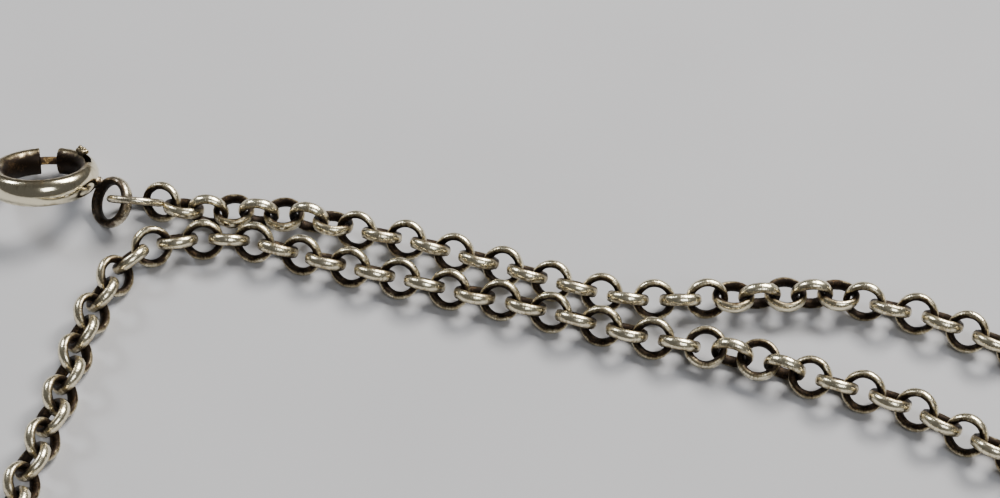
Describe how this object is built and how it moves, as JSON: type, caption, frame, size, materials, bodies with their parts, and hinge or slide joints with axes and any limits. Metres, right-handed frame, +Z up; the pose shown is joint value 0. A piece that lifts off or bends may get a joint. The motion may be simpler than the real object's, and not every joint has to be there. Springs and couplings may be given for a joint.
{
  "type": "necklace chain",
  "caption": "Round-link silver necklace chain laid open on a table, with a sprung bolt ring clasp, its eye and jump ring at one end and a plain end ring at the other.",
  "frame": {"origin": "middle of the footprint of the laid-out necklace, on the table", "axes": "+Z up from the table, +X along the longer side of the layout, away from the clasp"},
  "size_m": [0.1273, 0.0757, 0.0045],
  "materials": {
    "bright_silver": "worn silver, domed and polished, with oxidation left in the hollows",
    "aged_silver": "silver wire with fine drawing lines, oxidised brown-black between the rings",
    "dark_silver": "heavily oxidised silver, brown-black with worn edges",
    "bronze": "warm golden brown spring metal, oxidised"
  },
  "bodies": {
    "clasp_ring": {"clasp_tube": "bright_silver", "clasp_eye": "dark_silver", "clasp_spring": "dark_silver"},
    "clasp_bolt_slide": {"clasp_bolt": "bronze", "clasp_thumb_knob": "bright_silver"},
    "jump_ring": {"jump_ring": "dark_silver"},
    "link_001": {"link_001": "aged_silver"},
    "link_002": {"link_002": "aged_silver"},
    "link_003": {"link_003": "aged_silver"},
    "link_004": {"link_004": "aged_silver"},
    "link_005": {"link_005": "aged_silver"},
    "link_006": {"link_006": "aged_silver"},
    "link_007": {"link_007": "aged_silver"},
    "link_008": {"link_008": "aged_silver"},
    "link_009": {"link_009": "aged_silver"},
    "link_010": {"link_010": "aged_silver"},
    "link_011": {"link_011": "aged_silver"},
    "chain_run_01": {"chain_run_01": "aged_silver"},
    "chain_run_02": {"chain_run_02": "aged_silver"},
    "chain_run_03": {"chain_run_03": "aged_silver"},
    "chain_run_04": {"chain_run_04": "aged_silver"},
    "chain_run_05": {"chain_run_05": "aged_silver"},
    "chain_run_06": {"chain_run_06": "aged_silver"},
    "chain_run_07": {"chain_run_07": "aged_silver"},
    "chain_run_08": {"chain_run_08": "aged_silver"},
    "chain_run_09": {"chain_run_09": "aged_silver"},
    "chain_run_10": {"chain_run_10": "aged_silver"},
    "chain_run_11": {"chain_run_11": "aged_silver"},
    "chain_run_12": {"chain_run_12": "aged_silver"},
    "chain_run_13": {"chain_run_13": "aged_silver"},
    "chain_run_14": {"chain_run_14": "aged_silver"},
    "chain_run_15": {"chain_run_15": "aged_silver"},
    "chain_run_16": {"chain_run_16": "aged_silver"},
    "chain_run_17": {"chain_run_17": "aged_silver"},
    "chain_run_18": {"chain_run_18": "aged_silver"},
    "chain_run_19": {"chain_run_19": "aged_silver"},
    "chain_run_20": {"chain_run_20": "aged_silver"},
    "chain_run_21": {"chain_run_21": "aged_silver"},
    "chain_run_22": {"chain_run_22": "aged_silver"},
    "chain_run_23": {"chain_run_23": "aged_silver"},
    "chain_run_24": {"chain_run_24": "aged_silver"},
    "chain_run_25": {"chain_run_25": "aged_silver"},
    "link_263": {"link_263": "aged_silver"},
    "link_264": {"link_264": "aged_silver"},
    "link_265": {"link_265": "aged_silver"},
    "link_266": {"link_266": "aged_silver"},
    "end_ring": {"end_ring": "bright_silver"}
  },
  "joints": [
    {"name": "bolt_retract", "type": "hinge", "parent": "clasp_ring", "child": "clasp_bolt_slide", "pos_m": [-0.0584, 0.02038, 0.00236], "axis": [0, 0.4226, 0.9063], "range_deg": [-28, 0], "stiffness_Nm_per_rad": 0.004, "springref_deg": 8.59, "deforming": ["clasp_spring"]},
    {"name": "clasp_swing", "type": "hinge", "parent": "jump_ring", "child": "clasp_ring", "pos_m": [-0.05387, 0.01912, 0.00158], "axis": [0.0686, 0.6635, -0.745], "range_deg": [-8, 8]},
    {"name": "jump_ring_swing", "type": "hinge", "parent": "link_001", "child": "jump_ring", "pos_m": [-0.05162, 0.01962, 0.00122], "axis": [0.2215, 0.5134, 0.829], "range_deg": [-7, 7]},
    {"name": "link_001_hinge", "type": "hinge", "parent": "link_002", "child": "link_001", "pos_m": [-0.0501, 0.01896, 0.00125], "axis": [0.2414, 0.809, -0.536], "range_deg": [0, 20]},
    {"name": "link_002_hinge", "type": "hinge", "parent": "link_003", "child": "link_002", "pos_m": [-0.04854, 0.01843, 0.00133], "axis": [0.2414, 0.809, -0.536], "range_deg": [0, 8]},
    {"name": "link_003_hinge", "type": "hinge", "parent": "link_004", "child": "link_003", "pos_m": [-0.0469, 0.01824, 0.00136], "axis": [0.0358, 0.9992, 0.0174], "range_deg": [0, 20]},
    {"name": "link_004_hinge", "type": "hinge", "parent": "link_005", "child": "link_004", "pos_m": [-0.04524, 0.01819, 0.00135], "axis": [0.0358, 0.9992, 0.0174], "range_deg": [0, 20]},
    {"name": "link_005_hinge", "type": "hinge", "parent": "link_006", "child": "link_005", "pos_m": [-0.04359, 0.01805, 0.00135], "axis": [0.1318, 0.9911, 0.0175], "range_deg": [0, 20]},
    {"name": "link_006_hinge", "type": "hinge", "parent": "link_007", "child": "link_006", "pos_m": [-0.04194, 0.01784, 0.00136], "axis": [0.1318, 0.9911, 0.0175], "range_deg": [0, 20]},
    {"name": "link_007_hinge", "type": "hinge", "parent": "link_008", "child": "link_007", "pos_m": [-0.04033, 0.0175, 0.00136], "axis": [0.3023, 0.8686, -0.3926], "range_deg": [0, 20]},
    {"name": "link_008_hinge", "type": "hinge", "parent": "link_009", "child": "link_008", "pos_m": [-0.03876, 0.01696, 0.00131], "axis": [0.3023, 0.8686, -0.3926], "range_deg": [0, 20]},
    {"name": "link_009_hinge", "type": "hinge", "parent": "link_010", "child": "link_009", "pos_m": [-0.03718, 0.01647, 0.00124], "axis": [0.1691, 0.6992, -0.6947], "range_deg": [0, 20]},
    {"name": "link_010_hinge", "type": "hinge", "parent": "link_011", "child": "link_010", "pos_m": [-0.03556, 0.01608, 0.00122], "axis": [0.1691, 0.6992, -0.6947], "range_deg": [0, 20]},
    {"name": "link_011_hinge", "type": "hinge", "parent": "chain_run_01", "child": "link_011", "pos_m": [-0.03397, 0.01562, 0.00122], "axis": [0.2533, 0.6732, -0.6947], "range_deg": [0, 20]},
    {"name": "run_01_hinge", "type": "hinge", "parent": "chain_run_02", "child": "chain_run_01", "pos_m": [-0.0182, 0.01072, 0.00122], "axis": [-0.0102, 0.7208, -0.6931], "range_deg": [0, 16]},
    {"name": "run_02_hinge", "type": "hinge", "parent": "chain_run_03", "child": "chain_run_02", "pos_m": [-0.00187, 0.00936, 0.00122], "axis": [0.3188, 0.6449, -0.6947], "range_deg": [0, 16]},
    {"name": "run_03_hinge", "type": "hinge", "parent": "chain_run_04", "child": "chain_run_03", "pos_m": [0.01323, 0.00772, 0.00122], "axis": [-0.5438, 0.4695, -0.6956], "range_deg": [0, 16]},
    {"name": "run_04_hinge", "type": "hinge", "parent": "chain_run_05", "child": "chain_run_04", "pos_m": [0.02026, 0.02261, 0.00122], "axis": [-0.6425, 0.3046, -0.7032], "range_deg": [0, 16]},
    {"name": "run_18_hinge", "type": "hinge", "parent": "chain_run_17", "child": "chain_run_18", "pos_m": [-0.05166, 0.01451, 0.00122], "axis": [-0.2672, 0.4912, 0.829], "range_deg": [0, 16]},
    {"name": "run_19_hinge", "type": "hinge", "parent": "chain_run_18", "child": "chain_run_19", "pos_m": [-0.05592, -0.0013, 0.00122], "axis": [-0.547, 0.116, 0.829], "range_deg": [0, 12]},
    {"name": "run_20_hinge", "type": "hinge", "parent": "chain_run_19", "child": "chain_run_20", "pos_m": [-0.05311, -0.01657, 0.00122], "axis": [-0.393, -0.3978, 0.829], "range_deg": [0, 12]},
    {"name": "run_21_hinge", "type": "hinge", "parent": "chain_run_20", "child": "chain_run_21", "pos_m": [-0.03731, -0.01667, 0.00122], "axis": [0.1904, -0.5258, 0.829], "range_deg": [0, 12]},
    {"name": "run_22_hinge", "type": "hinge", "parent": "chain_run_21", "child": "chain_run_22", "pos_m": [-0.02146, -0.01275, 0.00122], "axis": [-0.0378, -0.5579, 0.829], "range_deg": [0, 12]},
    {"name": "run_12_hinge", "type": "hinge", "parent": "chain_run_13", "child": "chain_run_12", "pos_m": [0.02059, -0.02214, 0.00122], "axis": [-0.3736, -0.4197, -0.8272], "range_deg": [0, 16]},
    {"name": "run_14_hinge", "type": "hinge", "parent": "chain_run_13", "child": "chain_run_14", "pos_m": [0.0084, -0.00787, 0.00122], "axis": [0.439, 0.3464, 0.829], "range_deg": [0, 12]},
    {"name": "end_ring_swing", "type": "hinge", "parent": "link_266", "child": "end_ring", "pos_m": [-0.06077, -0.03609, 0.00122], "axis": [-0.098, 0.5505, 0.829], "range_deg": [-20, 30]},
    {"name": "link_266_hinge", "type": "hinge", "parent": "link_265", "child": "link_266", "pos_m": [-0.05914, -0.0358, 0.00122], "axis": [-0.1219, 0.7089, -0.6947], "range_deg": [-20, 30]},
    {"name": "link_265_hinge", "type": "hinge", "parent": "link_264", "child": "link_265", "pos_m": [-0.0575, -0.03551, 0.00122], "axis": [-0.0992, 0.5503, 0.829], "range_deg": [-20, 30]},
    {"name": "link_264_hinge", "type": "hinge", "parent": "link_263", "child": "link_264", "pos_m": [-0.05587, -0.03523, 0.00122], "axis": [-0.1589, 0.7016, -0.6947], "range_deg": [-20, 30]},
    {"name": "link_263_hinge", "type": "hinge", "parent": "chain_run_25", "child": "link_263", "pos_m": [-0.05425, -0.03488, 0.00122], "axis": [-0.1616, 0.5353, 0.829], "range_deg": [-20, 30]},
    {"name": "run_11_hinge", "type": "hinge", "parent": "chain_run_12", "child": "chain_run_11", "pos_m": [0.03568, -0.02834, 0.00121], "axis": [-0.0332, -0.5717, -0.8198], "range_deg": [0, 16]},
    {"name": "run_10_hinge", "type": "hinge", "parent": "chain_run_11", "child": "chain_run_10", "pos_m": [0.05093, -0.02245, 0.0012], "axis": [0.3423, -0.4803, -0.8076], "range_deg": [0, 16]},
    {"name": "run_09_hinge", "type": "hinge", "parent": "chain_run_10", "child": "chain_run_09", "pos_m": [0.06006, -0.00882, 0.00119], "axis": [0.5644, -0.2339, -0.7917], "range_deg": [0, 16]},
    {"name": "run_08_hinge", "type": "hinge", "parent": "chain_run_09", "child": "chain_run_08", "pos_m": [0.06253, 0.00748, 0.00117], "axis": [0.6341, 0.0099, -0.7732], "range_deg": [0, 16]},
    {"name": "run_07_hinge", "type": "hinge", "parent": "chain_run_08", "child": "chain_run_07", "pos_m": [0.0584, 0.02343, 0.00118], "axis": [0.5929, 0.2843, -0.7534], "range_deg": [0, 16]},
    {"name": "run_06_hinge", "type": "hinge", "parent": "chain_run_07", "child": "chain_run_06", "pos_m": [0.04714, 0.03512, 0.00119], "axis": [0.2953, 0.6116, -0.734], "range_deg": [0, 16]},
    {"name": "run_05_hinge", "type": "hinge", "parent": "chain_run_06", "child": "chain_run_05", "pos_m": [0.03116, 0.03466, 0.00121], "axis": [-0.3025, 0.6284, -0.7166], "range_deg": [0, 16]},
    {"name": "run_15_hinge", "type": "hinge", "parent": "chain_run_14", "child": "chain_run_15", "pos_m": [-0.00438, 0.00248, 0.00122], "axis": [0.2925, 0.4766, 0.829], "range_deg": [0, 16]},
    {"name": "run_16_hinge", "type": "hinge", "parent": "chain_run_15", "child": "chain_run_16", "pos_m": [-0.02004, 0.0079, 0.00122], "axis": [0.1499, 0.5387, 0.829], "range_deg": [0, 18]},
    {"name": "run_17_hinge", "type": "hinge", "parent": "chain_run_16", "child": "chain_run_17", "pos_m": [-0.03589, 0.01282, 0.00122], "axis": [0.1569, 0.5367, 0.829], "range_deg": [0, 16]},
    {"name": "run_23_hinge", "type": "hinge", "parent": "chain_run_22", "child": "chain_run_23", "pos_m": [-0.01008, -0.02267, 0.00122], "axis": [-0.5554, -0.0648, 0.829], "range_deg": [0, 20]},
    {"name": "run_24_hinge", "type": "hinge", "parent": "chain_run_23", "child": "chain_run_24", "pos_m": [-0.02239, -0.03106, 0.00122], "axis": [-0.0021, 0.5592, 0.829], "range_deg": [0, 18]},
    {"name": "run_25_hinge", "type": "hinge", "parent": "chain_run_24", "child": "chain_run_25", "pos_m": [-0.03872, -0.02922, 0.00122], "axis": [-0.0698, 0.5548, 0.829], "range_deg": [0, 20]}
  ]
}
